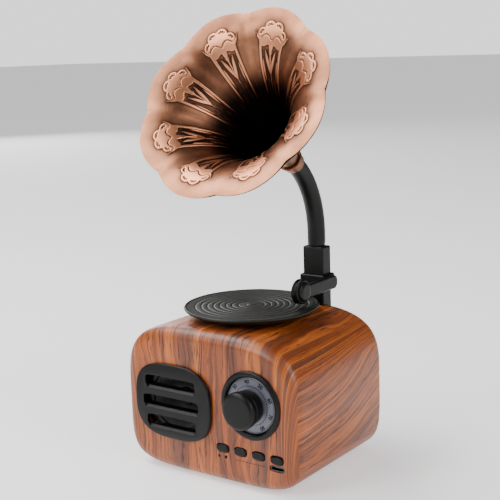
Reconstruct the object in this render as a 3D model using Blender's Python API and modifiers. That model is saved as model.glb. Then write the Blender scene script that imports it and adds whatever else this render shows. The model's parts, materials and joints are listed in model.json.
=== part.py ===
"""Horn loudspeaker: a small wireless speaker shaped like a gramophone.

A rounded cabinet holds the driver, the board and the battery. A platter turns on its roof.
A post behind the platter carries a lifting tonearm and a scalloped horn on a bent neck.
Metres, Z up, X to the right, the front faces -Y. The origin is the middle of the rest pad's underside.
"""
from math import copysign, cos, pi, radians, sin

import bmesh
import bpy
from mathutils import Vector

GAP = 0.0003                    # clearance between neighbouring pieces

# Cabinet
CABINET_WIDTH = 0.0900
CABINET_DEPTH = 0.0718
CABINET_BOTTOM = 0.0006
CABINET_SHOULDER = 0.0348       # height where the upper and lower halves of the section meet
CABINET_TOP = 0.0649
CABINET_FILLET = 0.0057
CROWN_POWER = 3.44              # how square the upper half of the section is
FOOT_POWER = 5.54               # how square the lower half is
WALL = 0.0025
FRONT = -CABINET_DEPTH / 2
INNER_FRONT = FRONT + WALL

# Underside
BASE_PLATE_SIZE = (0.0620, 0.0540, 0.0020)
BASE_PLATE_BOTTOM = 0.0012
BASE_PLATE_TOP = BASE_PLATE_BOTTOM + BASE_PLATE_SIZE[2]
PAD_SIZE = (0.0540, 0.0500)
PAD_THICKNESS = 0.0009
BASE_SCREW_X = 0.0265
BASE_SCREW_Y = 0.0225
BOSS_TOP = 0.0095

# Grille and driver
GRILLE_X = -0.0172
GRILLE_Z = 0.0322
GRILLE_HALF = (0.0204, 0.0165)
GRILLE_POWER = 2.9
GRILLE_PLUG_HALF = (0.0160, 0.0126)
GRILLE_PROUD = 0.0013
SLOT_PITCH = 0.0088
SLOT_HEIGHT = 0.0049
SLOT_DROP = 0.0006
SLOT_HALF_WIDTHS = (0.0135, 0.0150, 0.0132)
DRIVER_FLANGE_RADIUS = 0.0190
DRIVER_SCREW_RADIUS = 0.0172

# Dial and volume knob
DIAL_X = 0.0232
DIAL_Z = 0.0374
DIAL_RADIUS = 0.01455
DIAL_HOLE = 0.0130
SCALE_RADIUS = 0.0118
KNOB_RADIUS = 0.0079
KNOB_PROUD = 0.0102
KNOB_CAP = 0.0034               # thickness of the cap, above the groove round the knob
KNOB_HOLLOW = 0.0060            # how far under the cap's face the skirt is hollow
SHAFT_RADIUS = 0.0025
SHAFT_COVER = 0.0016            # solid knob in front of the shaft's bore
CONTROL_HALF = 0.0065
CONTROL_DEPTH = 0.0044          # from the front face back to the volume control's body
CONTROL_BUSH_RADIUS = 0.0036
NUT_ACROSS = 0.0051             # from the nut's centre to its flats

# Push buttons, light, microphone and charging socket
BUTTON_X = 0.0081
BUTTON_PITCH = 0.00907
BUTTON_Z = 0.0164
BUTTON_HALF = (0.0030, 0.0017)
BUTTON_PROUD = 0.0008
BUTTON_GAP = 0.0008             # from the back of a button to its switch
LOW_ROW_Z = 0.0127
LIGHT_X = 0.0061
MICROPHONE_X = 0.0096
PINHOLE_RADIUS = 0.0007
SOCKET_X = 0.0352
SOCKET_HALF = (0.0034, 0.00115)

# Main board
BOARD_FRONT = -0.0277
BOARD_THICKNESS = 0.0016
BOARD_X = (0.0030, 0.0390)
BOARD_Z = (0.0098, 0.0520)
BOARD_SCREWS = ((0.0056, 0.0470), (0.0362, 0.0492))

# Platter
PLATTER_Y = -0.0013
PLATTER_RADIUS = 0.0296
PLATTER_TOP = 0.06975
SPINDLE_RADIUS = 0.0020

# Post, collar and tonearm
POST_X = 0.01325
POST_Y = 0.0318
POST_SIZE = (0.0105, 0.0070)
POST_TOP = 0.0912
POST_SCREW_Y = 0.0304
POST_SCREW_SPREAD = 0.0028
COLLAR_FRONT = 0.0268
COLLAR_Z = (0.0724, 0.0786)
ARM_X = (0.0201, 0.0224)
ARM_Z = (0.0722, 0.0782)
ARM_BACK = 0.0347
ARM_PIVOT_Z = 0.0752
PIN_RADIUS = 0.0010
SOUNDBOX_Y = 0.0058
SOUNDBOX_Z = 0.0760
SOUNDBOX_X = 0.0194
SOUNDBOX_RADIUS = 0.0054

# Horn
HORN_TURN = radians(3.1)        # the horn points a little to the right of straight ahead
NECK_RADIUS = 0.0040
NECK_STRAIGHT_TOP = 0.0968
NECK_BEND_RADIUS = 0.0396
NECK_BEND = radians(58.0)
NECK_STRAIGHT_END = 0.0035      # a short straight run into the bell
SPIGOT_RADIUS = 0.0020
SPIGOT_DEPTH = 0.0070
HORN_LENGTH = 0.0505
HORN_THROAT = 0.0036
HORN_NOTCH = 0.0402
HORN_LOBE = 0.00260             # how far a lobe reaches beyond the notches
HORN_LOBE_LEAN = 0.0010
HORN_LOBES = 8
HORN_NOTCH_TURN = radians(7.0)
HORN_FLARE = 2.3                # 1 is a plain cone; higher ends flatter at the rim
HORN_WALL = 0.0010

FACING_FRONT = (pi / 2, 0, 0)   # turns a piece made along Z so that it points to -Y
FACING_RIGHT = (0, pi / 2, 0)   # turns it to +X


def clear_scene():
    for item in list(bpy.data.objects):
        bpy.data.objects.remove(item, do_unlink=True)


def new_collection(name):
    collection = bpy.data.collections.new(name)
    bpy.context.scene.collection.children.link(collection)
    return collection


clear_scene()
PARTS = new_collection("horn_loudspeaker")
CUTTERS = new_collection("cutters")


def finish(name, colour, roughness, metallic=0.0):
    """A plain Principled material."""
    material = bpy.data.materials.new(name)
    material.use_nodes = True
    shader = material.node_tree.nodes["Principled BSDF"]
    shader.inputs["Base Color"].default_value = (*colour, 1.0)
    shader.inputs["Roughness"].default_value = roughness
    shader.inputs["Metallic"].default_value = metallic
    return material


WOOD = finish("wood_print", (0.52, 0.20, 0.07), 0.35)
BLACK = finish("black_plastic", (0.02, 0.02, 0.02), 0.4)
PLATTER_BLACK = finish("platter_black", (0.04, 0.04, 0.03), 0.35)
COPPER = finish("antique_copper", (0.55, 0.30, 0.20), 0.3, 1.0)
STEEL = finish("steel", (0.6, 0.6, 0.6), 0.3, 1.0)
BRASS = finish("brass", (0.75, 0.6, 0.3), 0.3, 1.0)
RUBBER = finish("rubber", (0.03, 0.03, 0.03), 0.8)
SCALE = finish("scale_silver", (0.5, 0.5, 0.52), 0.4, 0.4)
PAPER = finish("cone_paper", (0.05, 0.05, 0.05), 0.8)
FERRITE = finish("ferrite", (0.1, 0.1, 0.1), 0.7)
BOARD = finish("circuit_board", (0.05, 0.25, 0.1), 0.5)
CHIP = finish("chip_black", (0.03, 0.03, 0.03), 0.5)
CLEAR = finish("light_pipe", (0.8, 0.85, 0.9), 0.1)
WRAP = finish("battery_wrap", (0.1, 0.25, 0.5), 0.4)
LEAD = finish("lead_red", (0.5, 0.03, 0.03), 0.5)


def place(piece, material, location=(0, 0, 0), rotation=(0, 0, 0), parent=None):
    """Finishes a piece: its material, its place and its collection. Without a material it's a cutter."""
    piece.location = location
    piece.rotation_euler = rotation
    piece.parent = parent
    if material is None:
        CUTTERS.objects.link(piece)
        piece.hide_render = True
        piece.display_type = 'WIRE'
    else:
        PARTS.objects.link(piece)
        piece.data.materials.append(material)
        if len(piece.data.polygons) > 6:
            piece.data.shade_smooth()
            piece.data.set_sharp_from_angle(angle=radians(35))
    return piece


def block(name, low, high, material=None, bevel=0.0, parent=None):
    """A box between two corners, with rounded edges if bevel is given."""
    mesh = bpy.data.meshes.new(name)
    shape = bmesh.new()
    bmesh.ops.create_cube(shape, size=1.0)
    size = Vector(high) - Vector(low)
    bmesh.ops.scale(shape, vec=size, verts=shape.verts)
    shape.to_mesh(mesh)
    shape.free()
    piece = place(bpy.data.objects.new(name, mesh), material, (Vector(low) + Vector(high)) / 2, parent=parent)
    if bevel:
        rounding = piece.modifiers.new("rounding", 'BEVEL')
        rounding.width = bevel
        rounding.segments = 2
    return piece


def turned(name, profile, material=None, location=(0, 0, 0), rotation=(0, 0, 0), ring=False, steps=32,
           parent=None):
    """A turned piece. The profile holds (radius, height) and runs down the outer side; a ring closes on itself."""
    mesh = bpy.data.meshes.new(name)
    count = len(profile)
    edges = [(i, i + 1) for i in range(count - 1)]
    if ring:
        edges.append((count - 1, 0))
    mesh.from_pydata([(radius, 0, height) for radius, height in profile], edges, [])
    piece = place(bpy.data.objects.new(name, mesh), material, location, rotation, parent)
    lathe = piece.modifiers.new("lathe", 'SCREW')
    lathe.steps = steps
    lathe.render_steps = steps
    lathe.use_merge_vertices = True
    lathe.merge_threshold = 0.00001
    lathe.use_smooth_shade = True
    return piece


def rod(name, radius, low, high, material=None, location=(0, 0, 0), rotation=(0, 0, 0), steps=24, parent=None):
    """A plain cylinder from low to high along its own axis."""
    profile = [(0, high), (radius, high), (radius, low), (0, low)]
    return turned(name, profile, material, location, rotation, steps=steps, parent=parent)


def mesh_of(curve_object):
    """Replaces a curve object with a mesh object that has its caps welded."""
    bpy.context.view_layer.update()
    graph = bpy.context.evaluated_depsgraph_get()
    mesh = bpy.data.meshes.new_from_object(curve_object.evaluated_get(graph))
    shape = bmesh.new()
    shape.from_mesh(mesh)
    bmesh.ops.remove_doubles(shape, verts=shape.verts, dist=0.00001)
    bmesh.ops.recalc_face_normals(shape, faces=shape.faces)
    shape.to_mesh(mesh)
    shape.free()
    name = curve_object.name
    bpy.data.objects.remove(curve_object, do_unlink=True)
    mesh.materials.clear()
    return bpy.data.objects.new(name, mesh)


def plate(name, outline, thickness, material=None, location=(0, 0, 0), rotation=FACING_FRONT, bevel=0.0,
          segments=3):
    """A flat outline of the given thickness, centred on its location."""
    curve = bpy.data.curves.new(name, 'CURVE')
    curve.dimensions = '2D'
    curve.fill_mode = 'BOTH'
    curve.extrude = thickness / 2
    spline = curve.splines.new('POLY')
    spline.points.add(len(outline) - 1)
    for point, (across, up) in zip(spline.points, outline):
        point.co = (across, up, 0, 1)
    spline.use_cyclic_u = True
    drawn = bpy.data.objects.new(name, curve)
    CUTTERS.objects.link(drawn)
    piece = place(mesh_of(drawn), material, location, rotation)
    if bevel:
        rounding = piece.modifiers.new("rounding", 'BEVEL')
        rounding.width = bevel
        rounding.segments = segments
        rounding.limit_method = 'ANGLE'
        rounding.angle_limit = radians(50)
    return piece


def tube(name, route, radius, material, smooth_steps=2, parent=None):
    """A round tube along a smooth curve through the route's points."""
    curve = bpy.data.curves.new(name, 'CURVE')
    curve.dimensions = '3D'
    curve.bevel_depth = radius
    curve.bevel_resolution = 2
    curve.use_fill_caps = True
    points = smoothed(route, smooth_steps)
    spline = curve.splines.new('POLY')
    spline.points.add(len(points) - 1)
    for point, position in zip(spline.points, points):
        point.co = (*position, 1)
    drawn = bpy.data.objects.new(name, curve)
    CUTTERS.objects.link(drawn)
    return place(mesh_of(drawn), material, parent=parent)


def smoothed(route, steps):
    """Points of a Catmull-Rom curve through the route."""
    knots = [Vector(point) for point in route]
    padded = [2 * knots[0] - knots[1], *knots, 2 * knots[-1] - knots[-2]]
    points = []
    for before, start, end, after in zip(padded, padded[1:], padded[2:], padded[3:]):
        for step in range(steps):
            t = step / steps
            bend = (2 * before - 5 * start + 4 * end - after) * t * t
            twist = (3 * start - before - 3 * end + after) * t * t * t
            points.append((2 * start + (end - before) * t + bend + twist) / 2)
    return [*points, knots[-1]]


def boolean(piece, tool, operation):
    change = piece.modifiers.new(tool.name, 'BOOLEAN')
    change.operation = operation
    change.object = tool


def cut(piece, *tools):
    for tool in tools:
        boolean(piece, tool, 'DIFFERENCE')


def join(piece, *tools):
    for tool in tools:
        boolean(piece, tool, 'UNION')


def squircle(half_width, upper, lower, upper_power, lower_power, count):
    """A rounded square outline whose upper and lower halves may differ."""
    outline = []
    for index in range(count):
        angle = 2 * pi * index / count
        across, up = cos(angle), sin(angle)
        half_height, power = (upper, upper_power) if up >= 0 else (lower, lower_power)
        outline.append((copysign(half_width * abs(across) ** (2 / power), across),
                        copysign(half_height * abs(up) ** (2 / power), up)))
    return outline


def even_squircle(half_width, half_height, power, count=32):
    return squircle(half_width, half_height, half_height, power, power, count)


def on_front(x, z, y=FRONT):
    return (x, y, z)


def cabinet_form(name, inset, fillet, material=None, count=48, segments=4):
    """The cabinet's outer form, drawn in on every side by inset."""
    outline = squircle(CABINET_WIDTH / 2 - inset, CABINET_TOP - CABINET_SHOULDER - inset,
                       CABINET_SHOULDER - CABINET_BOTTOM - inset, CROWN_POWER, FOOT_POWER, count)
    form = plate(name, outline, CABINET_DEPTH - 2 * inset, material, (0, 0, CABINET_SHOULDER),
                 bevel=fillet, segments=segments)
    form.modifiers["rounding"].use_clamp_overlap = False
    return form


def signs():
    return [(1, 1), (1, -1), (-1, 1), (-1, -1)]


def make_cabinet():
    shell = cabinet_form("cabinet_shell", 0.0, CABINET_FILLET, WOOD)
    cut(shell, cabinet_form("cabinet_cavity", WALL, WALL, count=32, segments=2))
    for number, (side, end) in enumerate(signs(), 1):
        x = side * BASE_SCREW_X
        wall_y = end * (CABINET_DEPTH / 2 - WALL + 0.0005)
        inner_y = end * (BASE_SCREW_Y - 0.0032)
        boss = block(f"boss_{number}", (x - 0.0032, min(wall_y, inner_y), 0.0022),
                     (x + 0.0032, max(wall_y, inner_y), BOSS_TOP))
        join(shell, boss)
    for number, (x, z) in enumerate(BOARD_SCREWS, 1):
        join(shell, rod(f"board_boss_{number}", 0.0024, -0.0003, BOARD_FRONT - INNER_FRONT - GAP,
                        location=(x, INNER_FRONT, z), rotation=(-pi / 2, 0, 0), steps=16))
    join(shell, block("post_seat", (POST_X - 0.0058, 0.0262, 0.0605), (POST_X + 0.0058, 0.0340, 0.0628)))
    cut_base_opening(shell)
    cut_front_openings(shell)
    cut_roof_openings(shell)
    return shell


def cut_base_opening(shell):
    width, depth, _ = BASE_PLATE_SIZE
    outline = even_squircle(width / 2 + GAP, depth / 2 + GAP, 12, 32)
    low, high = -0.001, BASE_PLATE_TOP + GAP
    cut(shell, plate("base_opening", outline, high - low, location=(0, 0, (low + high) / 2), rotation=(0, 0, 0)))
    for number, (side, end) in enumerate(signs(), 1):
        cut(shell, rod(f"base_pilot_{number}", 0.0014, 0.0, 0.0090,
                       location=(side * BASE_SCREW_X, end * BASE_SCREW_Y, 0), steps=16))


def cut_front_openings(shell):
    through = 3 * WALL
    grille = even_squircle(GRILLE_PLUG_HALF[0] + GAP, GRILLE_PLUG_HALF[1] + GAP, GRILLE_POWER)
    cut(shell, plate("grille_opening", grille, through, location=on_front(GRILLE_X, GRILLE_Z)))
    cut(shell, rod("dial_opening", DIAL_HOLE, -through / 2, through / 2, location=on_front(DIAL_X, DIAL_Z),
                   rotation=FACING_FRONT, steps=40))
    key = even_squircle(BUTTON_HALF[0] + GAP, BUTTON_HALF[1] + GAP, 3, 20)
    for number in range(4):
        cut(shell, plate(f"button_hole_{number + 1}", key, through,
                         location=on_front(BUTTON_X + number * BUTTON_PITCH, BUTTON_Z)))
    for name, x in (("light_hole", LIGHT_X), ("microphone_hole", MICROPHONE_X)):
        cut(shell, rod(name, PINHOLE_RADIUS, -through / 2, through / 2, location=on_front(x, LOW_ROW_Z),
                       rotation=FACING_FRONT, steps=12))
    socket = even_squircle(SOCKET_HALF[0] + GAP, SOCKET_HALF[1] + GAP, 4, 24)
    cut(shell, plate("socket_hole", socket, through, location=on_front(SOCKET_X, LOW_ROW_Z)))
    for number, (x, z) in enumerate(driver_screw_places(), 1):
        cut(shell, rod(f"driver_pilot_{number}", 0.0010, 0.0, 0.0019, location=(x, INNER_FRONT + 0.0001, z),
                       rotation=FACING_FRONT, steps=12))
    for number, (x, z) in enumerate(BOARD_SCREWS, 1):
        cut(shell, rod(f"board_pilot_{number}", 0.0011, 0.0, 0.0045, location=(x, BOARD_FRONT, z),
                       rotation=FACING_FRONT, steps=12))


def cut_roof_openings(shell):
    cut(shell, rod("bearing_hole", 0.0039, 0.0550, 0.0700, location=(0, PLATTER_Y, 0)))
    for number, side in enumerate((-1, 1), 1):
        cut(shell, rod(f"post_screw_hole_{number}", 0.0013, 0.0550, 0.0700,
                       location=(POST_X + side * POST_SCREW_SPREAD, POST_SCREW_Y, 0), steps=16))


def make_underside():
    width, depth, thickness = BASE_PLATE_SIZE
    base = plate("base_plate", even_squircle(width / 2, depth / 2, 12, 32), thickness, BLACK,
                 (0, 0, (BASE_PLATE_BOTTOM + BASE_PLATE_TOP) / 2), (0, 0, 0))
    plate("rest_pad", even_squircle(PAD_SIZE[0] / 2, PAD_SIZE[1] / 2, 5), PAD_THICKNESS, RUBBER,
          (0, 0, PAD_THICKNESS / 2), (0, 0, 0))
    head_top = BASE_PLATE_BOTTOM + 0.0011
    for number, (side, end) in enumerate(signs(), 1):
        spot = (side * BASE_SCREW_X, end * BASE_SCREW_Y, 0)
        cut(base, turned(f"base_screw_recess_{number}",
                         [(0, 0.004), (0.0014, 0.004), (0.0014, head_top + GAP), (0.0024, head_top + GAP),
                          (0.0024, 0.0), (0, 0.0)], location=spot, steps=16))
        turned(f"base_screw_{number}",
               [(0, 0.0085), (0.0011, 0.0085), (0.0011, head_top), (0.0021, head_top),
                (0.0021, BASE_PLATE_BOTTOM), (0, BASE_PLATE_BOTTOM)], STEEL, spot, steps=16)


def make_grille():
    flange_back = FRONT - GAP
    flange_front = FRONT - GRILLE_PROUD
    plug_back = INNER_FRONT + 0.0002
    grille = plate("grille_frame", even_squircle(*GRILLE_HALF, GRILLE_POWER, 48), flange_back - flange_front, BLACK,
                   (GRILLE_X, (flange_back + flange_front) / 2, GRILLE_Z))
    plug_front = flange_back - 0.0002
    join(grille, plate("grille_plug", even_squircle(*GRILLE_PLUG_HALF, GRILLE_POWER, 32), plug_back - plug_front,
                       location=(GRILLE_X, (plug_back + plug_front) / 2, GRILLE_Z)))
    for row, half_width in enumerate(SLOT_HALF_WIDTHS):
        z = GRILLE_Z - SLOT_DROP + (1 - row) * SLOT_PITCH
        cut(grille, plate(f"grille_slot_{row + 1}", even_squircle(half_width, SLOT_HEIGHT / 2, 7, 24), 0.010,
                          location=(GRILLE_X - 0.0009, FRONT, z)))


def driver_screw_places():
    reach = DRIVER_SCREW_RADIUS * cos(pi / 4)
    return [(GRILLE_X + side * reach, GRILLE_Z + up * reach) for side, up in signs()]


def make_driver():
    """The driver's pieces, front to back; heights are measured back from the front wall's inner face."""
    spot = (GRILLE_X, INNER_FRONT, GRILLE_Z)

    def driver_ring(name, profile, material, ring=True, steps=24):
        return turned(name, [(radius, -back) for radius, back in profile], material, spot, FACING_FRONT, ring, steps)

    driver_ring("driver_gasket", [(0.0141, 0.0003), (0.0158, 0.0003), (0.0158, 0.0009), (0.0141, 0.0009)], RUBBER)
    basket = driver_ring("driver_basket",
                         [(0.0144, 0.0012), (DRIVER_FLANGE_RADIUS, 0.0012), (DRIVER_FLANGE_RADIUS, 0.0022),
                          (0.0158, 0.0022), (0.0100, 0.0105), (0.0040, 0.0105), (0.0040, 0.0095),
                          (0.0095, 0.0095), (0.0144, 0.0030)], STEEL)
    for number, (x, z) in enumerate(driver_screw_places(), 1):
        cut(basket, rod(f"flange_hole_{number}", 0.0010, 0.0, 0.004, location=(x, INNER_FRONT + 0.004, z),
                        rotation=FACING_FRONT, steps=12))
        turned(f"driver_screw_{number}", [(0, 0.0015), (0.0007, 0.0015), (0.0007, -0.0025), (0.0016, -0.0025),
                                          (0.0016, -0.0034), (0, -0.0034)],
               STEEL, (x, INNER_FRONT, z), FACING_FRONT, steps=12)
    for number in range(4):
        carrier = bpy.data.objects.new(f"basket_window_place_{number + 1}", None)
        CUTTERS.objects.link(carrier)
        carrier.location = spot
        carrier.rotation_euler = (0, number * pi / 2, 0)
        cut(basket, block(f"basket_window_{number + 1}", (-0.0028, 0.0052, 0.0045), (0.0028, 0.0078, 0.0200),
                          parent=carrier))
    driver_ring("driver_cone",
                [(0.0128, 0.0006), (0.0138, 0.0010), (0.0138, 0.0014), (0.0124, 0.0016), (0.0046, 0.0068),
                 (0.0046, 0.0090), (0.0041, 0.0090), (0.0041, 0.0064), (0.0120, 0.0011)], PAPER)
    driver_ring("driver_dust_cap",
                [(0, 0.0036), (0.0016, 0.0038), (0.0031, 0.0045), (0.0038, 0.0055), (0.0038, 0.0060),
                 (0, 0.0060)], PAPER, ring=False, steps=24)
    driver_ring("driver_magnet", [(0, 0.0108), (0.0098, 0.0108), (0.0098, 0.0158), (0, 0.0158)], FERRITE, ring=False)
    driver_ring("driver_back_plate", [(0, 0.0161), (0.0092, 0.0161), (0.0092, 0.0178), (0, 0.0178)], STEEL,
                ring=False)


def make_dial():
    """The bezel, the scale and the volume control; heights are measured out from the front face."""
    spot = on_front(DIAL_X, DIAL_Z)
    turned("dial_bezel",
           [(0.0121, 0.0011), (0.0125, 0.0013), (0.0139, 0.0012), (DIAL_RADIUS, 0.0007), (DIAL_RADIUS, GAP),
            (0.0127, GAP), (0.0127, -0.0030), (0.0108, -0.0030), (0.0108, -0.0008), (0.0121, -0.0008)],
           BLACK, spot, FACING_FRONT, ring=True, steps=36)
    turned("dial_scale", [(0.0039, 0.0003), (SCALE_RADIUS, 0.0003), (SCALE_RADIUS, -0.0005), (0.0039, -0.0005)],
           SCALE, spot, FACING_FRONT, ring=True, steps=36)
    control = block("potentiometer", (DIAL_X - CONTROL_HALF, FRONT + CONTROL_DEPTH, DIAL_Z - CONTROL_HALF),
                    (DIAL_X + CONTROL_HALF, BOARD_FRONT - GAP, DIAL_Z + CONTROL_HALF), STEEL)
    join(control, rod("potentiometer_bush", CONTROL_BUSH_RADIUS, -CONTROL_DEPTH - 0.0005, 0.0012, location=spot,
                      rotation=FACING_FRONT, steps=24))
    cut(control, rod("potentiometer_bore", SHAFT_RADIUS + GAP, -0.0060, 0.0020, location=spot,
                     rotation=FACING_FRONT, steps=24))
    nut = turned("potentiometer_nut",
                 [(CONTROL_BUSH_RADIUS + GAP, 0.0018), (0.0056, 0.0018), (0.0056, 0.0006),
                  (CONTROL_BUSH_RADIUS + GAP, 0.0006)], BRASS, spot, FACING_FRONT, ring=True, steps=24)
    for side in range(6):
        angle = side * pi / 3
        reach = NUT_ACROSS + 0.0010
        flat = block(f"nut_flat_{side + 1}", (-0.004, -0.001, -0.001), (0.004, 0.001, 0.001))
        flat.location = (DIAL_X + reach * cos(angle), FRONT - 0.0012, DIAL_Z + reach * sin(angle))
        flat.rotation_euler = (0, pi / 2 - angle, 0)
        cut(nut, flat)
    pivot = bpy.data.objects.new("knob_pivot", None)
    PARTS.objects.link(pivot)
    pivot.location = spot
    pivot.rotation_euler = FACING_FRONT
    bore_top = KNOB_PROUD - SHAFT_COVER
    groove = KNOB_PROUD - KNOB_CAP
    hollow = KNOB_PROUD - KNOB_HOLLOW
    rod("knob_shaft", SHAFT_RADIUS, -0.0056, bore_top - GAP, STEEL, parent=pivot)
    turned("volume_knob",
           [(0, KNOB_PROUD), (KNOB_RADIUS - 0.0016, KNOB_PROUD), (KNOB_RADIUS - 0.0005, KNOB_PROUD - 0.0004),
            (KNOB_RADIUS, KNOB_PROUD - 0.0014), (KNOB_RADIUS, groove), (0.0073, groove - 0.0004),
            (0.0073, groove - 0.0008), (0.0075, groove - 0.0012), (0.0070, 0.0012), (0.0062, 0.0012),
            (0.0062, hollow), (SHAFT_RADIUS + GAP, hollow), (SHAFT_RADIUS + GAP, bore_top), (0, bore_top)],
           BLACK, steps=28, parent=pivot)


def make_buttons():
    rest_back = INNER_FRONT + GAP + 0.0008
    switch_front = rest_back + BUTTON_GAP
    for number in range(4):
        x = BUTTON_X + number * BUTTON_PITCH
        cap_front = FRONT - BUTTON_PROUD
        cap_back = rest_back - 0.0004
        button = plate(f"button_{number + 1}", even_squircle(*BUTTON_HALF, 3, 20), cap_back - cap_front, BLACK,
                       (x, (cap_front + cap_back) / 2, BUTTON_Z), bevel=0.0005, segments=2)
        join(button, block(f"button_flange_{number + 1}", (x - 0.0036, INNER_FRONT + GAP, BUTTON_Z - 0.0021),
                           (x + 0.0036, rest_back, BUTTON_Z + 0.0021)))
        block(f"tact_switch_{number + 1}", (x - 0.0030, switch_front, BUTTON_Z - 0.0017),
              (x + 0.0030, BOARD_FRONT - GAP, BUTTON_Z + 0.0017), CHIP)


def make_board():
    back = BOARD_FRONT + BOARD_THICKNESS
    board = block("main_board", (BOARD_X[0], BOARD_FRONT, BOARD_Z[0]), (BOARD_X[1], back, BOARD_Z[1]), BOARD)
    for number, (x, z) in enumerate(BOARD_SCREWS, 1):
        spot = (x, BOARD_FRONT, z)
        cut(board, rod(f"board_screw_hole_{number}", 0.0012, -0.004, 0.002, location=spot, rotation=FACING_FRONT,
                       steps=12))
        turned(f"board_screw_{number}", [(0, 0.0040), (0.0008, 0.0040), (0.0008, -0.0019), (0.0020, -0.0019),
                                         (0.0020, -0.0031), (0, -0.0031)], STEEL, spot, FACING_FRONT, steps=12)
    rear = back + GAP
    block("bluetooth_module", (0.0100, rear, 0.0330), (0.0220, rear + 0.0022, 0.0480), STEEL)
    block("amplifier_chip", (0.0260, rear, 0.0360), (0.0320, rear + 0.0016, 0.0410), CHIP)
    rod("capacitor", 0.0025, rear, rear + 0.0075, WRAP, (0.0300, 0, 0.0250), (-pi / 2, 0, 0), 20)
    make_socket()
    block("microphone", (MICROPHONE_X - 0.0014, -0.0315, LOW_ROW_Z - 0.0014),
          (MICROPHONE_X + 0.0014, BOARD_FRONT - GAP, LOW_ROW_Z + 0.0014), CHIP)
    turned("indicator_light", [(0, 0.0077), (0.0004, 0.0077), (0.0004, 0.0040), (0.0010, 0.0040), (0.0010, GAP),
                               (0, GAP)], CLEAR, (LIGHT_X, BOARD_FRONT, LOW_ROW_Z), FACING_FRONT, steps=12)


def make_socket():
    """The charging socket: a metal shell, open at the front, with a tongue inside."""
    half_width, half_height = SOCKET_HALF
    front, back = FRONT + 0.0004, BOARD_FRONT - GAP
    shell = plate("charging_socket", even_squircle(half_width, half_height, 4, 24), back - front, STEEL,
                  (SOCKET_X, (front + back) / 2, LOW_ROW_Z))
    mouth_depth = 0.0050
    cut(shell, plate("socket_mouth", even_squircle(half_width - 0.0004, half_height - 0.0004, 4, 24), mouth_depth,
                     location=(SOCKET_X, front + mouth_depth / 2 - 0.0002, LOW_ROW_Z)))
    join(shell, block("socket_tongue", (SOCKET_X - 0.0020, front + 0.0010, LOW_ROW_Z - 0.0001),
                      (SOCKET_X + 0.0020, front + mouth_depth + 0.0005, LOW_ROW_Z + 0.0003)))


def make_battery():
    block("battery", (-0.0200, -0.0050, BASE_PLATE_TOP + GAP), (0.0200, 0.0180, BASE_PLATE_TOP + GAP + 0.0085), WRAP,
          bevel=0.0010)
    tube("battery_lead", [(0.0150, -0.0053, 0.0080), (0.0150, -0.0100, 0.0082), (0.0152, -0.0160, 0.0110),
                          (0.0155, -0.0220, 0.0152), (0.0155, -0.0240, 0.0155), (0.0155, -0.0257, 0.0155)], 0.0008, LEAD)
    tube("speaker_lead", [(-0.0100, -0.0245, 0.0445), (-0.0080, -0.0200, 0.0470), (-0.0020, -0.0180, 0.0490),
                          (0.0040, -0.0195, 0.0460), (0.0060, -0.0222, 0.0430), (0.0062, -0.0240, 0.0425),
                          (0.0062, -0.0257, 0.0425)], 0.0008, LEAD)


def make_platter():
    roof = CABINET_TOP
    turned("platter_bearing",
           [(SPINDLE_RADIUS + GAP, roof + 0.0013), (0.0110, roof + 0.0013), (0.0110, roof + GAP),
            (0.0036, roof + GAP), (0.0036, 0.0580), (SPINDLE_RADIUS + GAP, 0.0580)],
           BLACK, (0, PLATTER_Y, 0), ring=True)
    pivot = bpy.data.objects.new("platter_pivot", None)
    PARTS.objects.link(pivot)
    pivot.location = (0, PLATTER_Y, 0)
    bore_top = PLATTER_TOP - 0.0008
    underside = roof + 0.0017
    turned("platter",
           [(0, PLATTER_TOP - 0.0003), (PLATTER_RADIUS - 0.0012, PLATTER_TOP - 0.0003),
            (PLATTER_RADIUS - 0.0007, PLATTER_TOP), (PLATTER_RADIUS - 0.0002, PLATTER_TOP - 0.0001),
            (PLATTER_RADIUS, PLATTER_TOP - 0.0005), (PLATTER_RADIUS - 0.0003, PLATTER_TOP - 0.0012),
            (0.0262, underside + 0.0002), (0.0255, underside), (SPINDLE_RADIUS + GAP, underside),
            (SPINDLE_RADIUS + GAP, bore_top), (0, bore_top)],
           PLATTER_BLACK, steps=48, parent=pivot)
    rod("platter_spindle", SPINDLE_RADIUS, 0.0560, bore_top - GAP, STEEL, parent=pivot)
    turned("platter_clip", [(SPINDLE_RADIUS + GAP, 0.0577), (0.0040, 0.0577), (0.0040, 0.0569),
                            (SPINDLE_RADIUS + GAP, 0.0569)], STEEL, ring=True, steps=24, parent=pivot)


def make_post():
    half_x, half_y = POST_SIZE[0] / 2, POST_SIZE[1] / 2
    post = block("post", (POST_X - half_x, POST_Y - half_y, 0.0560), (POST_X + half_x, POST_Y + half_y, POST_TOP),
                 BLACK, bevel=0.0006)
    cut(post, cabinet_form("cabinet_clearance", -GAP, CABINET_FILLET + GAP))
    cut(post, rod("neck_socket", SPIGOT_RADIUS + GAP, POST_TOP - SPIGOT_DEPTH - 0.0005, POST_TOP + 0.001,
                  location=(POST_X, POST_Y, 0)))
    cut(post, rod("post_pin_hole", PIN_RADIUS + GAP, -0.010, 0.010, location=(POST_X, POST_Y, ARM_PIVOT_Z),
                  rotation=FACING_RIGHT, steps=16))
    for number, side in enumerate((-1, 1), 1):
        x = POST_X + side * POST_SCREW_SPREAD
        cut(post, rod(f"post_pilot_{number}", 0.0012, 0.0550, 0.0715, location=(x, POST_SCREW_Y, 0), steps=16))
        turned(f"post_screw_{number}", [(0, 0.0708), (0.0009, 0.0708), (0.0009, 0.0602), (0.0019, 0.0602),
                                        (0.0019, 0.0588), (0, 0.0588)], STEEL, (x, POST_SCREW_Y, 0), steps=16)
    make_collar()


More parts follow.
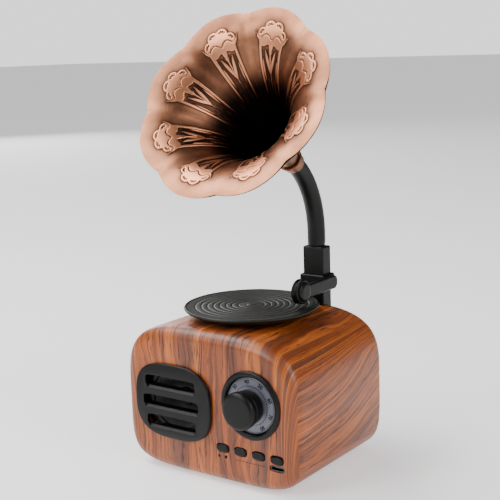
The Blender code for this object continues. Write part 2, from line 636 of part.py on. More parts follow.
def make_collar():
    half_x, half_y = POST_SIZE[0] / 2, POST_SIZE[1] / 2
    low_z, high_z = COLLAR_Z
    left, right = POST_X - half_x - 0.0010, ARM_X[0] - GAP
    collar = block("arm_collar", (left, COLLAR_FRONT, low_z), (right, POST_Y + half_y + 0.0011, high_z), BLACK,
                   bevel=0.0004)
    cut(collar, block("collar_hole", (POST_X - half_x - GAP, POST_Y - half_y - GAP, low_z - 0.001),
                      (POST_X + half_x + GAP, POST_Y + half_y + GAP, high_z + 0.001)))
    cut(collar, rod("collar_pin_hole", PIN_RADIUS + GAP, -0.012, 0.012, location=(POST_X, POST_Y, ARM_PIVOT_Z),
                    rotation=FACING_RIGHT, steps=16))
    rod("arm_pin", PIN_RADIUS, left - POST_X, ARM_X[1] - 0.0010 - POST_X, STEEL, (POST_X, POST_Y, ARM_PIVOT_Z),
        FACING_RIGHT, 16)


def make_tonearm():
    """The arm, the soundbox and the stylus, which lift together about the pin."""
    pivot = bpy.data.objects.new("arm_pivot", None)
    PARTS.objects.link(pivot)
    low_z, high_z = ARM_Z
    half = (high_z - low_z) / 2
    end_round = half * 0.75
    outline = [(SOUNDBOX_Y, -half), (SOUNDBOX_Y, half)]
    for step in range(7):
        angle = pi / 2 - step * pi / 6
        outline.append((ARM_BACK - end_round + end_round * cos(angle), half * sin(angle)))
    arm = plate("tonearm", [(-y, z) for y, z in outline], ARM_X[1] - ARM_X[0], BLACK,
                ((ARM_X[0] + ARM_X[1]) / 2, 0, (low_z + high_z) / 2), (pi / 2, 0, -pi / 2))
    arm.parent = pivot
    soundbox_spot = (SOUNDBOX_X, SOUNDBOX_Y, SOUNDBOX_Z)
    cut(arm, rod("soundbox_clearance", SOUNDBOX_RADIUS + GAP, -0.003, 0.006, location=soundbox_spot,
                 rotation=FACING_RIGHT, steps=32))
    cut(arm, rod("arm_pin_hole", PIN_RADIUS + GAP, ARM_X[0] - POST_X - 0.001, ARM_X[1] - POST_X - 0.0007,
                 location=(POST_X, POST_Y, ARM_PIVOT_Z), rotation=FACING_RIGHT, steps=16))
    drum = turned("soundbox",
                  [(0, 0.0035), (0.0051, 0.0035), (SOUNDBOX_RADIUS, 0.0032), (SOUNDBOX_RADIUS, 0.0025),
                   (0.0049, 0.0023), (0.0049, 0.0012), (SOUNDBOX_RADIUS, 0.0010), (SOUNDBOX_RADIUS, 0.0003),
                   (0.0051, 0), (0, 0)], BLACK, soundbox_spot, FACING_RIGHT, parent=pivot)
    cut(drum, rod("stylus_hole", 0.0008, -0.0070, -0.0032,
                  location=(SOUNDBOX_X + 0.00175, SOUNDBOX_Y, SOUNDBOX_Z), steps=12))
    turned("soundbox_cap",
           [(0, 0.0048), (0.0034, 0.0048), (0.0040, 0.0046), (0.0043, 0.0042), (0.0043, 0.0038), (0, 0.0038)],
           BLACK, soundbox_spot, FACING_RIGHT, parent=pivot)
    turned("stylus", [(0, -0.0035), (0.0005, -0.0035), (0.0005, -0.0055), (0.0003, -0.0059), (0, -0.0059)],
           STEEL, (SOUNDBOX_X + 0.00175, SOUNDBOX_Y, SOUNDBOX_Z), steps=12, parent=pivot)


def make_horn():
    """The neck, the ferrule and the bell, which turn together in the post's socket."""
    pivot = bpy.data.objects.new("horn_pivot", None)
    PARTS.objects.link(pivot)
    pivot.location = (POST_X, POST_Y, 0)
    pivot.rotation_euler = (0, 0, HORN_TURN)
    foot = POST_TOP + GAP
    route = [(0, 0, foot), (0, 0, (foot + NECK_STRAIGHT_TOP) / 2)]
    bend_steps = 12
    for step in range(bend_steps + 1):
        angle = NECK_BEND * step / bend_steps
        route.append((0, -NECK_BEND_RADIUS * (1 - cos(angle)), NECK_STRAIGHT_TOP + NECK_BEND_RADIUS * sin(angle)))
    bend_end = route[-1]
    route.append((0, bend_end[1] - NECK_STRAIGHT_END * sin(NECK_BEND), bend_end[2] + NECK_STRAIGHT_END * cos(NECK_BEND)))
    neck = tube("horn_neck", route, NECK_RADIUS, BLACK, smooth_steps=1, parent=pivot)
    join(neck, rod("neck_spigot", SPIGOT_RADIUS, POST_TOP - SPIGOT_DEPTH, foot + 0.002, parent=pivot))
    mouth = Vector(route[-1])
    tilt = (NECK_BEND, 0, 0)
    turned("horn_ferrule",
           [(0.0044, 0.0002), (0.0051, 0.0003), (0.0055, -0.0002), (0.0052, -0.0008), (0.0049, -0.0042),
            (0.0044, -0.0044)], COPPER, mouth, tilt, ring=True, parent=pivot)
    bell = place(bpy.data.objects.new("horn_bell", bell_surface()), COPPER, mouth, tilt, pivot)
    thickness = bell.modifiers.new("thickness", 'SOLIDIFY')
    thickness.thickness = HORN_WALL
    thickness.offset = 0
    thickness.use_even_offset = True


def bell_surface(around=48, along=11):
    """The bell's middle surface: a flare that ends flat, whose rim swells into lobes between sharp notches."""
    shape = bmesh.new()
    rows = []
    for row in range(along + 1):
        out = row / along
        row_verts = []
        for column in range(around):
            angle = HORN_NOTCH_TURN + 2 * pi * column / around
            lobe = abs(sin(HORN_LOBES / 2 * (angle - HORN_NOTCH_TURN))) * out ** 4
            radius = HORN_THROAT + (HORN_NOTCH - HORN_THROAT) * out + HORN_LOBE * lobe
            height = GAP + (HORN_LENGTH - GAP) * (1 - (1 - out) ** HORN_FLARE) + HORN_LOBE_LEAN * lobe
            row_verts.append(shape.verts.new((radius * cos(angle), radius * sin(angle), height)))
        rows.append(row_verts)
    for lower, upper in zip(rows, rows[1:]):
        for column in range(around):
            after = (column + 1) % around
            shape.faces.new((lower[column], lower[after], upper[after], upper[column]))
    mesh = bpy.data.meshes.new("horn_bell")
    shape.to_mesh(mesh)
    shape.free()
    return mesh


make_cabinet()
make_underside()
make_grille()
make_driver()
make_dial()
make_buttons()
make_board()
make_battery()
make_platter()
make_post()
make_tonearm()
make_horn()
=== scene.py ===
"""The looks of the horn loudspeaker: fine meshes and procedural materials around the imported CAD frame."""
import json
from math import copysign, cos, pi, radians, sin

import bmesh
import bpy
import numpy as np
from mathutils import Matrix, Vector


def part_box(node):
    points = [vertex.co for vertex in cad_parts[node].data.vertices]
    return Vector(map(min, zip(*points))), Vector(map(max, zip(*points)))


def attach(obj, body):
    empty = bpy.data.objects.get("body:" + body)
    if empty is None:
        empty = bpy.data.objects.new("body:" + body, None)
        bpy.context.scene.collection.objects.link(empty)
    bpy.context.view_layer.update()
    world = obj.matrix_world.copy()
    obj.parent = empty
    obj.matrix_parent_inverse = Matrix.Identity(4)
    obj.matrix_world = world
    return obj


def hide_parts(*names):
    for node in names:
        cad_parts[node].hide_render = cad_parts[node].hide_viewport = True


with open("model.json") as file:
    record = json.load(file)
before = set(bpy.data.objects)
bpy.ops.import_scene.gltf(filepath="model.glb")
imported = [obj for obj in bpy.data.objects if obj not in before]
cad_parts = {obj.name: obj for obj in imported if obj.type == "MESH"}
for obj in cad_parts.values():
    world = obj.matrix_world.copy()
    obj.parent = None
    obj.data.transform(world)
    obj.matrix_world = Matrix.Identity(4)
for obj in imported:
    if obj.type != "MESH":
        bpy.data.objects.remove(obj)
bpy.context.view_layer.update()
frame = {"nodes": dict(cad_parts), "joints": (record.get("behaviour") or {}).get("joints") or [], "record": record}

FACING_FRONT = (pi / 2, 0, 0)
FACING_RIGHT = (0, pi / 2, 0)
GAP = 0.0003

# The cabinet's section, as in the CAD: a squircle whose upper and lower halves differ.
CABINET_LOW, CABINET_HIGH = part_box("cabinet_shell")
CABINET_SHOULDER = 0.0348
CROWN_POWER = 3.44
FOOT_POWER = 5.54
CABINET_FILLET = 0.0057
WALL = 0.0025
FRONT = CABINET_LOW.y

# The grille, the dial and the small openings in the front, as in the CAD.
GRILLE_POWER = 2.9
GRILLE_HOLE_HALF = (0.0188, 0.0149)
GRILLE_PLUG_HALF = (0.0160, 0.0126)
SLOT_HALF_WIDTHS = (0.0135, 0.0150, 0.0132)
SLOT_HALF_HEIGHT = 0.00245
SLOT_PITCH = 0.0088
SLOT_SHIFT = -0.0009
SLOT_DROP = 0.0006
SLOT_POWER = 7
DIAL_HOLE = 0.0130
SCALE_FACE = 0.0003             # how far the dial's face stands in front of the cabinet
BUTTON_HOLE_HALF = (0.0033, 0.0020)
PINHOLE_RADIUS = 0.0007

EDGE_ROUNDING = 0.0007          # of the post, its collar and the tonearm

# The horn, as in the CAD.
HORN_PIVOT = Vector(next(j["pos_m"] for j in frame["joints"] if j["name"] == "horn_swivel"))
HORN_TURN = radians(3.1)
NECK_RADIUS = 0.0040
NECK_STRAIGHT_TOP = 0.0968
NECK_BEND_RADIUS = 0.0396
NECK_BEND = radians(58.0)
NECK_STRAIGHT_END = 0.0035
HORN_LENGTH = 0.0505
HORN_THROAT = 0.0036
HORN_NOTCH = 0.0402
HORN_LOBE = 0.00260
HORN_LOBE_LEAN = 0.0010
HORN_LOBES = 8
HORN_NOTCH_TURN = radians(7.0)
HORN_FLARE = 2.3
HORN_WALL = 0.0010
HORN_AXIS = Vector((0, -sin(NECK_BEND), cos(NECK_BEND)))        # before the horn is turned


# ---------------------------------------------------------------- camera, lights and floor

def make_camera():
    """Stands to the right of the front, a little above the roof, with a slight tilt."""
    azimuth, elevation, roll = radians(35.93), radians(10.68), radians(-1.79)
    target, distance = Vector((0.0006, -0.0020, 0.0938)), 0.4656
    back = Vector((sin(azimuth) * cos(elevation), -cos(azimuth) * cos(elevation), sin(elevation)))
    level = Vector((cos(azimuth), sin(azimuth), 0))
    up = back.cross(level)
    right = level * cos(roll) + up * sin(roll)
    up = up * cos(roll) - level * sin(roll)
    camera = bpy.data.objects.new("camera", bpy.data.cameras.new("camera"))
    bpy.context.scene.collection.objects.link(camera)
    camera.data.lens = 77.6
    camera.data.sensor_width = 36
    facing = Matrix((right, up, back)).transposed().to_4x4()
    camera.matrix_world = Matrix.Translation(target + back * distance) @ facing
    bpy.context.scene.camera = camera


def area_light(name, place, size, power, aim=(0, 0, 0.1)):
    light = bpy.data.objects.new(name, bpy.data.lights.new(name, 'AREA'))
    bpy.context.scene.collection.objects.link(light)
    light.data.shape = 'RECTANGLE'
    light.data.size, light.data.size_y = size
    light.data.energy = power
    light.location = place
    light.rotation_euler = (Vector(aim) - Vector(place)).to_track_quat('-Z', 'Y').to_euler()


def make_studio():
    world = bpy.data.worlds.new("studio")
    bpy.context.scene.world = world
    world.use_nodes = True
    tree = world.node_tree
    seen, rays = tree.nodes["Background"], tree.nodes.new('ShaderNodeLightPath')
    seen.inputs["Color"].default_value = (1, 1, 1, 1)
    strength = tree.nodes.new('ShaderNodeMapRange')
    strength.inputs["To Min"].default_value = 0.12
    strength.inputs["To Max"].default_value = 1.5
    tree.links.new(rays.outputs["Is Camera Ray"], strength.inputs["Value"])
    tree.links.new(strength.outputs["Result"], seen.inputs["Strength"])
    area_light("key", (-0.35, -0.85, 0.60), (0.45, 0.45), 6)
    area_light("side", (0.75, -0.15, 0.45), (0.35, 0.6), 4.5)
    area_light("top", (-0.50, -0.18, 0.85), (0.55, 0.55), 9)
    area_light("rim", (-1.4, 1.0, 0.8), (0.6, 1.4), 12)
    daylight = bpy.data.objects.new("daylight", bpy.data.lights.new("daylight", 'SUN'))
    bpy.context.scene.collection.objects.link(daylight)
    daylight.data.energy = 0.6
    daylight.data.angle = radians(50)
    daylight.rotation_euler = (radians(28), radians(-14), 0)
    mesh = bpy.data.meshes.new("floor")
    shape = bmesh.new()
    bmesh.ops.create_grid(shape, x_segments=1, y_segments=1, size=12)
    shape.to_mesh(mesh)
    shape.free()
    floor = bpy.data.objects.new("floor", mesh)
    bpy.context.scene.collection.objects.link(floor)
    paint = bpy.data.materials.new("floor_paint")
    paint.use_nodes = True
    shader = paint.node_tree.nodes["Principled BSDF"]
    shader.inputs["Base Color"].default_value = (0.90, 0.90, 0.90, 1)
    shader.inputs["Roughness"].default_value = 0.8
    shader.inputs["Emission Color"].default_value = (1, 1, 1, 1)
    shader.inputs["Emission Strength"].default_value = 0.55
    mesh.materials.append(paint)


# ---------------------------------------------------------------- materials

class Shading:
    """A material under construction, with short calls for the nodes used here."""

    def __init__(self, name, roughness=0.5, metallic=0.0, **sockets):
        self.material = bpy.data.materials.new(name)
        self.material.use_nodes = True
        self.tree = self.material.node_tree
        self.shader = self.tree.nodes["Principled BSDF"]
        self.shader.inputs["Roughness"].default_value = roughness
        self.shader.inputs["Metallic"].default_value = metallic
        for socket, value in sockets.items():
            self.shader.inputs[socket.replace("_", " ")].default_value = value

    def node(self, kind, **values):
        made = self.tree.nodes.new(kind)
        for key, value in values.items():
            setattr(made, key, value)
        return made

    def link(self, source, target):
        self.tree.links.new(source, target)

    def place(self, scale=(1, 1, 1)):
        """Object coordinates, stretched."""
        coordinates = self.node('ShaderNodeTexCoord')
        mapping = self.node('ShaderNodeMapping')
        mapping.inputs["Scale"].default_value = scale
        self.link(coordinates.outputs["Object"], mapping.inputs["Vector"])
        return mapping.outputs["Vector"]

    def noise(self, vector, scale=1.0, detail=4.0, roughness=0.5, distortion=0.0):
        made = self.node('ShaderNodeTexNoise')
        made.inputs["Scale"].default_value = scale
        made.inputs["Detail"].default_value = detail
        made.inputs["Roughness"].default_value = roughness
        made.inputs["Distortion"].default_value = distortion
        self.link(vector, made.inputs["Vector"])
        return made.outputs["Fac"]

    def ramp(self, factor, *stops):
        made = self.node('ShaderNodeValToRGB')
        elements = made.color_ramp.elements
        while len(elements) < len(stops):
            elements.new(0.5)
        for element, (position, colour) in zip(elements, stops):
            element.position = position
            element.color = (*colour, 1) if len(colour) == 3 else colour
        self.link(factor, made.inputs["Fac"])
        return made.outputs["Color"]

    def mix(self, factor, first, second, blend='MIX'):
        made = self.node('ShaderNodeMix', data_type='RGBA', blend_type=blend)
        for index, value in ((0, factor), (6, first), (7, second)):
            if hasattr(value, "links"):
                self.link(value, made.inputs[index])
            elif index == 0:
                made.inputs[0].default_value = value
            else:
                made.inputs[index].default_value = (*value, 1)
        return made.outputs[2]

    def maths(self, operation, first, second=0.0):
        made = self.node('ShaderNodeMath', operation=operation)
        for socket, value in zip(made.inputs, (first, second)):
            if hasattr(value, "links"):
                self.link(value, socket)
            else:
                socket.default_value = value
        return made.outputs[0]

    def colour(self, source):
        self.link(source, self.shader.inputs["Base Color"])

    def roughness(self, factor, low, high):
        scaled = self.node('ShaderNodeMapRange')
        scaled.inputs["To Min"].default_value = low
        scaled.inputs["To Max"].default_value = high
        self.link(factor, scaled.inputs["Value"])
        self.link(scaled.outputs["Result"], self.shader.inputs["Roughness"])

    def bump(self, height, distance, strength=1.0):
        made = self.node('ShaderNodeBump')
        made.inputs["Strength"].default_value = strength
        made.inputs["Distance"].default_value = distance
        self.link(height, made.inputs["Height"])
        self.link(made.outputs["Normal"], self.shader.inputs["Normal"])


def speckled(name, light, dark, roughness, metallic=0.0, grain=900.0, bump=0.00002, **sockets):
    """Moulded plastic, rubber, paper or plain metal: faint mottling and a fine surface grain."""
    look = Shading(name, roughness, metallic, **sockets)
    place = look.place()
    mottle = look.noise(place, grain / 12, 3)
    look.colour(look.ramp(mottle, (0.3, dark), (0.7, light)))
    look.roughness(look.noise(place, grain / 4, 3), roughness * 0.85, min(1.0, roughness * 1.15))
    look.bump(look.noise(place, grain * 2, 2), bump)
    return look.material


def wood_print():
    """A rosewood print: its bands and fissures run up the front, over the roof, and bend on the sides."""
    look = Shading("wood_print", 0.42, Specular_IOR_Level=0.4, Coat_Weight=0.1, Coat_Roughness=0.4)
    separate = look.node('ShaderNodeSeparateXYZ')
    look.link(look.place(), separate.inputs[0])
    x, y, z = separate.outputs

    # On the two sides the bands bend into arcs round a point towards the rear.
    def squared_distance(value, centre, weight):
        away = look.maths('SUBTRACT', value, centre)
        return look.maths('MULTIPLY', look.maths('MULTIPLY', away, away), weight)

    squared = look.maths('ADD', squared_distance(y, 0.046, 1.5), squared_distance(z, 0.040, 0.5))
    arcs = look.maths('SQRT', squared)
    outside = look.maths('MAXIMUM', look.maths('SUBTRACT', look.maths('ABSOLUTE', x), 0.036), 0.0)
    side = look.node('ShaderNodeClamp')
    look.link(look.maths('MULTIPLY', outside, 125.0), side.inputs["Value"])
    drift = look.noise(look.place((22, 13, 11)), 1.0, 2, 0.5, 0.5)
    wobble = look.noise(look.place((75, 48, 42)), 1.0, 4, 0.6, 0.4)
    bend = look.maths('MULTIPLY', side.outputs[0], 1.35)
    across = look.maths('ADD', x, look.maths('MULTIPLY', arcs, bend))
    across = look.maths('ADD', across, look.maths('MULTIPLY', drift, 0.020))
    across = look.maths('ADD', across, look.maths('MULTIPLY', wobble, 0.0035))

    def streaks(frequency, along, detail, roughness=0.6):
        combined = look.node('ShaderNodeCombineXYZ')
        look.link(look.maths('MULTIPLY', across, frequency), combined.inputs["X"])
        look.link(look.maths('MULTIPLY', y, along), combined.inputs["Y"])
        look.link(look.maths('MULTIPLY', z, along), combined.inputs["Z"])
        return look.noise(combined.outputs[0], 1.0, detail, roughness)

    def marks(pattern, start, end):
        """1 where the pattern is lower than start, 0 where it is higher than end."""
        return look.ramp(pattern, (start, (1.0, 1.0, 1.0)), (end, (0.0, 0.0, 0.0)))

    def stained(under, where, strength, stain):
        return look.mix(look.mix(1.0, where, (strength,) * 3, 'MULTIPLY'), under, stain)

    colour = look.ramp(streaks(260, 8, 5, 0.65), (0.28, (0.055, 0.011, 0.003)), (0.41, (0.17, 0.034, 0.005)),
                       (0.51, (0.32, 0.070, 0.009)), (0.62, (0.46, 0.118, 0.017)),
                       (0.77, (0.57, 0.185, 0.038)))
    fissures = marks(streaks(1300, 75, 3, 0.6), 0.37, 0.42)
    colour = stained(colour, marks(streaks(130, 6, 3), 0.39, 0.50), 0.65, (0.13, 0.045, 0.022))
    colour = stained(colour, marks(streaks(420, 14, 5, 0.7), 0.34, 0.47), 0.7, (0.050, 0.011, 0.004))
    colour = stained(colour, fissures, 0.8, (0.018, 0.006, 0.004))
    colour = stained(colour, marks(streaks(800, 12, 2, 0.5), 0.33, 0.38), 0.75, (0.022, 0.007, 0.004))
    look.colour(colour)
    look.roughness(fissures, 0.38, 0.55)
    look.bump(fissures, -0.00004, 0.5)
    return look.material


def horn_copper():
    """Antique copper: brushed round the axis, black in the throat with painted shade, worn bright on the relief,
    with a painted highlight on the rim.
    """
    look = Shading("horn_copper", 0.3, 1.0)
    polar = look.node('ShaderNodeAttribute', attribute_name="polar")
    tone = look.node('ShaderNodeAttribute', attribute_name="tone")
    separate = look.node('ShaderNodeSeparateXYZ')
    look.link(polar.outputs["Vector"], separate.inputs[0])

    def rings(turns, across, detail):
        """Noise stretched along the direction of turning."""
        combined = look.node('ShaderNodeCombineXYZ')
        look.link(look.maths('MULTIPLY', separate.outputs["X"], turns), combined.inputs["X"])
        look.link(look.maths('MULTIPLY', separate.outputs["Y"], across), combined.inputs["Y"])
        return look.noise(combined.outputs[0], 1.0, detail, 0.65)

    marks = look.node('ShaderNodeSeparateXYZ')
    look.link(tone.outputs["Vector"], marks.inputs[0])
    # dark: painted shade; relief: wear on the relief and a painted highlight on the rim; outline: painted shadow
    # round the relief and dark engraved lines.
    dark, relief, outline = marks.outputs["X"], marks.outputs["Y"], marks.outputs["Z"]
    brushing = rings(14, 2600, 3)
    smudge = look.noise(look.place(), 70, 3, 0.6)
    plain = look.ramp(smudge, (0.3, (0.20, 0.075, 0.036)), (0.5, (0.34, 0.135, 0.068)),
                      (0.7, (0.47, 0.20, 0.108)))
    plain = look.mix(look.ramp(brushing, (0.35, (0.55,) * 3), (0.65, (0, 0, 0))), plain, (0.20, 0.105, 0.07))
    metal = look.mix(relief, plain, (0.70, 0.29, 0.155))
    metal = look.mix(outline, metal, (0.018, 0.010, 0.007))
    # The painted shade is broken into patches along the turning, then darkens the copper to near black.
    patches = look.maths('ADD', 0.75, look.maths('MULTIPLY', rings(9, 30, 3), 0.5))
    uneven = look.maths('MULTIPLY', dark, patches)
    clipped = look.node('ShaderNodeClamp')
    look.link(uneven, clipped.inputs["Value"])
    look.colour(look.mix(clipped.outputs[0], metal, (0.012, 0.008, 0.007)))
    look.roughness(brushing, 0.30, 0.46)
    look.bump(brushing, 0.00003, 0.6)
    return look.material


def platter_plastic(centre):
    """Olive-black plastic with fine turned lines round the spindle, a fifth of a groove apart."""
    look = Shading("platter_plastic", 0.42, Specular_IOR_Level=0.35)
    coordinates = look.node('ShaderNodeTexCoord')
    offset = look.node('ShaderNodeVectorMath', operation='SUBTRACT')
    offset.inputs[1].default_value = centre
    look.link(coordinates.outputs["Object"], offset.inputs[0])
    flat = look.node('ShaderNodeVectorMath', operation='MULTIPLY')
    flat.inputs[1].default_value = (1, 1, 0)
    look.link(offset.outputs[0], flat.inputs[0])
    length = look.node('ShaderNodeVectorMath', operation='LENGTH')
    look.link(flat.outputs[0], length.inputs[0])
    line_pitch = 0.0006
    lines = look.maths('SINE', look.maths('MULTIPLY', length.outputs["Value"], 2 * pi / line_pitch))
    look.colour(look.ramp(look.noise(look.place(), 60, 3), (0.3, (0.0035, 0.0036, 0.0018)),
                          (0.7, (0.0065, 0.0064, 0.0032))))
    look.roughness(look.noise(look.place(), 200, 3), 0.40, 0.50)
    look.bump(lines, 0.00002, 0.5)
    return look.material


def make_materials():
    low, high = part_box("platter")
    return {
        "wood_print": wood_print(),
        "black_plastic": speckled("black_satin", (0.0020, 0.0018, 0.0016), (0.0010, 0.0009, 0.0008), 0.42,
                                  grain=1600, bump=0.00001, Specular_IOR_Level=0.22),
        "platter_black": platter_plastic((0, low.y / 2 + high.y / 2, 0)),
        "copper": horn_copper(),
        "steel": speckled("steel", (0.62, 0.62, 0.63), (0.50, 0.50, 0.51), 0.28, 1.0),
        "brass": speckled("brass", (0.80, 0.62, 0.30), (0.66, 0.48, 0.22), 0.3, 1.0),
        "rubber": speckled("rubber", (0.03, 0.03, 0.03), (0.018, 0.018, 0.018), 0.8),
        "scale": speckled("scale_silver", (0.13, 0.13, 0.165), (0.10, 0.10, 0.13), 0.38, 0.3),
        "cone_paper": speckled("cone_paper", (0.045, 0.045, 0.045), (0.022, 0.022, 0.022), 0.85,
                               bump=0.00008),
        "ferrite": speckled("ferrite", (0.09, 0.09, 0.09), (0.05, 0.05, 0.05), 0.7),
        "circuit_board": speckled("circuit_board", (0.02, 0.20, 0.07), (0.012, 0.13, 0.05), 0.35),
        "chip": speckled("chip", (0.03, 0.03, 0.03), (0.018, 0.018, 0.018), 0.5),
        "clear": speckled("clear", (0.16, 0.008, 0.006), (0.09, 0.004, 0.003), 0.2),
        "wrap": speckled("wrap", (0.06, 0.16, 0.42), (0.04, 0.11, 0.32), 0.35),
        "lead_red": speckled("lead_red", (0.45, 0.02, 0.02), (0.33, 0.015, 0.015), 0.45),
    }


# ---------------------------------------------------------------- shapes

def new_piece(name, mesh, slot, body, *nodes, location=(0, 0, 0), rotation=(0, 0, 0), sharp=35):
    """A finished piece: its material, its place, the body it rides on and the CAD nodes it stands for."""
    piece = bpy.data.objects.new(name, mesh)
    bpy.context.scene.collection.objects.link(piece)
    piece.location = location
    piece.rotation_euler = rotation
    mesh.materials.clear()
    mesh.materials.append(MATERIALS[slot])
    mesh.shade_smooth()
    mesh.set_sharp_from_angle(angle=radians(sharp))
    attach(piece, body)
    if nodes:
        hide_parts(*nodes)
    return piece


def turned_mesh(name, profile, steps=96, ring=False):
    """A turned mesh about Z from (radius, height) points that run down the outer side."""
    shape = bmesh.new()
    verts = [shape.verts.new((radius, 0, height)) for radius, height in profile]
    pairs = list(zip(verts, verts[1:]))
    if ring:
        pairs.append((verts[-1], verts[0]))
    edges = [shape.edges.new(pair) for pair in pairs]
    bmesh.ops.spin(shape, geom=verts + edges, axis=(0, 0, 1), cent=(0, 0, 0), steps=steps, angle=2 * pi,
                   use_merge=True)
    bmesh.ops.remove_doubles(shape, verts=shape.verts, dist=1e-6)
    bmesh.ops.recalc_face_normals(shape, faces=shape.faces)
    mesh = bpy.data.meshes.new(name)
    shape.to_mesh(mesh)
    shape.free()
    return mesh


def rounded_profile(profile, radius, steps=3, ring=False):
    """The same profile with its inner corners rounded off by short arcs."""
    points = [Vector(point) for point in profile]
    count = len(points)
    result = []
    for index, point in enumerate(points):
        if not ring and index in (0, count - 1):
            result.append(tuple(point))
            continue
        before, after = points[index - 1] - point, points[(index + 1) % count] - point
        reach = min(radius, before.length * 0.45, after.length * 0.45)
        start, end = point + before.normalized() * reach, point + after.normalized() * reach
        for step in range(steps + 1):
            t = step / steps
            result.append(tuple(start * (1 - t) ** 2 + point * 2 * t * (1 - t) + end * t ** 2))
    return result


def outline_mesh(name, outline, thickness):
    """A flat outline of the given thickness, centred on the origin, facing Z."""
    shape = bmesh.new()
    verts = [shape.verts.new((across, up, -thickness / 2)) for across, up in outline]
    face = shape.faces.new(verts)
    grown = bmesh.ops.extrude_face_region(shape, geom=[face])
    lifted = [item for item in grown["geom"] if isinstance(item, bmesh.types.BMVert)]
    bmesh.ops.translate(shape, vec=(0, 0, thickness), verts=lifted)
    bmesh.ops.recalc_face_normals(shape, faces=shape.faces)
    mesh = bpy.data.meshes.new(name)
    shape.to_mesh(mesh)
    shape.free()
    return mesh


def block_mesh(name, low, high):
    shape = bmesh.new()
    bmesh.ops.create_cube(shape, size=1.0)
    bmesh.ops.scale(shape, vec=Vector(high) - Vector(low), verts=shape.verts)
    bmesh.ops.translate(shape, vec=(Vector(low) + Vector(high)) / 2, verts=shape.verts)
    mesh = bpy.data.meshes.new(name)
    shape.to_mesh(mesh)
    shape.free()
    return mesh


def rounding(piece, width, segments=3, angle=50):
    change = piece.modifiers.new("rounding", 'BEVEL')
    change.width = width
    change.segments = segments
    change.limit_method = 'ANGLE'
    change.angle_limit = radians(angle)
    change.use_clamp_overlap = False
    change.harden_normals = True


def carve(piece, *tools):
    """Cuts the tool meshes out of the piece and applies the result."""
    helpers = []
    for number, (mesh, location, rotation) in enumerate(tools):
        helper = bpy.data.objects.new(f"tool_{number}", mesh)
        bpy.context.scene.collection.objects.link(helper)
        helper.location = location
        helper.rotation_euler = rotation
        change = piece.modifiers.new(f"cut_{number}", 'BOOLEAN')
        change.operation = 'DIFFERENCE'
        change.object = helper
        helpers.append(helper)
    apply_modifiers(piece)
    for helper in helpers:
        bpy.data.objects.remove(helper, do_unlink=True)


def apply_modifiers(piece):
    bpy.context.view_layer.update()
    graph = bpy.context.evaluated_depsgraph_get()
    mesh = bpy.data.meshes.new_from_object(piece.evaluated_get(graph))
    piece.modifiers.clear()
    piece.data = mesh


def squircle(half_width, upper, lower, upper_power, lower_power, count):
    outline = []
    for index in range(count):
        angle = 2 * pi * index / count
        across, up = cos(angle), sin(angle)
        half_height, power = (upper, upper_power) if up >= 0 else (lower, lower_power)
        outline.append((copysign(half_width * abs(across) ** (2 / power), across),
                        copysign(half_height * abs(up) ** (2 / power), up)))
    return outline


def even_squircle(half_width, half_height, power, count=96):
    return squircle(half_width, half_height, half_height, power, power, count)


def middle(node):
    low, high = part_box(node)
    return (low + high) / 2


def half_size(node):
    low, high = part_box(node)
    return (high - low) / 2


# ---------------------------------------------------------------- cabinet

def cabinet_mesh(name, inset, count):
    width = (CABINET_HIGH.x - CABINET_LOW.x) / 2
    outline = squircle(width - inset, CABINET_HIGH.z - CABINET_SHOULDER - inset,
                       CABINET_SHOULDER - CABINET_LOW.z - inset, CROWN_POWER, FOOT_POWER, count)
    return outline_mesh(name, outline, CABINET_HIGH.y - CABINET_LOW.y - 2 * inset)


def make_cabinet():
    skin = new_piece("cabinet_skin", cabinet_mesh("cabinet_skin", 0, 200), "wood_print", "cabinet",
                     "cabinet_shell", location=(0, 0, CABINET_SHOULDER), rotation=FACING_FRONT)
    rounding(skin, CABINET_FILLET, 8)
    apply_modifiers(skin)
    through = 0.02
    front_tools = []

    def hole(outline, x, z):
        front_tools.append((outline_mesh("hole", outline, through), (x, FRONT, z), FACING_FRONT))

    dial = middle("dial_bezel")
    grille = middle("grille_frame")
    hole(even_squircle(*GRILLE_HOLE_HALF, GRILLE_POWER), grille.x, grille.z)
    hole(even_squircle(DIAL_HOLE, DIAL_HOLE, 2), dial.x, dial.z)
    for number in range(1, 5):
        button = middle(f"button_{number}")
        hole(even_squircle(*BUTTON_HOLE_HALF, 3, 48), button.x, button.z)
    socket, socket_half = middle("charging_socket"), half_size("charging_socket")
    hole(even_squircle(socket_half.x + GAP, socket_half.z + GAP, 3, 48), socket.x, socket.z)
    for node in ("indicator_light", "microphone"):
        pinhole = middle(node)
        hole(even_squircle(PINHOLE_RADIUS, PINHOLE_RADIUS, 2, 24), pinhole.x, pinhole.z)
    cavity = cabinet_mesh("cavity", WALL, 64)
    base = half_size("base_plate")
    base_hole = outline_mesh("hole", even_squircle(base.x + GAP, base.y + GAP, 12, 64), 0.008)
    bearing = middle("platter_bearing")
    bearing_hole = outline_mesh("hole", even_squircle(0.0039, 0.0039, 2, 32), 0.02)
    carve(skin, (cavity, (0, 0, CABINET_SHOULDER), FACING_FRONT), (base_hole, (0, 0, 0), (0, 0, 0)),
          (bearing_hole, (bearing.x, bearing.y, CABINET_HIGH.z), (0, 0, 0)), *front_tools)
    skin.data.shade_smooth()
    skin.data.set_sharp_from_angle(angle=radians(35))
    line = block_mesh("printed_line",
                      (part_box("button_2")[0].x + 0.0008, FRONT - 0.00004, socket.z - 0.0003),
                      (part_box("button_3")[1].x - 0.0002, FRONT + 0.0001, socket.z - 0.00012))
    new_piece("printed_line", line, "black_plastic", "cabinet")


def grille_slots(name, depth, steps):
    """The cutting tools for the three slots, with the height and half width of each."""
    centre = middle("grille_frame")
    for row, half_width in enumerate(SLOT_HALF_WIDTHS):
        place = (centre.x + SLOT_SHIFT, FRONT, centre.z - SLOT_DROP + (1 - row) * SLOT_PITCH)
        outline = even_squircle(half_width, SLOT_HALF_HEIGHT, SLOT_POWER, steps)
        yield (outline_mesh(name, outline, depth), place, FACING_FRONT), half_width


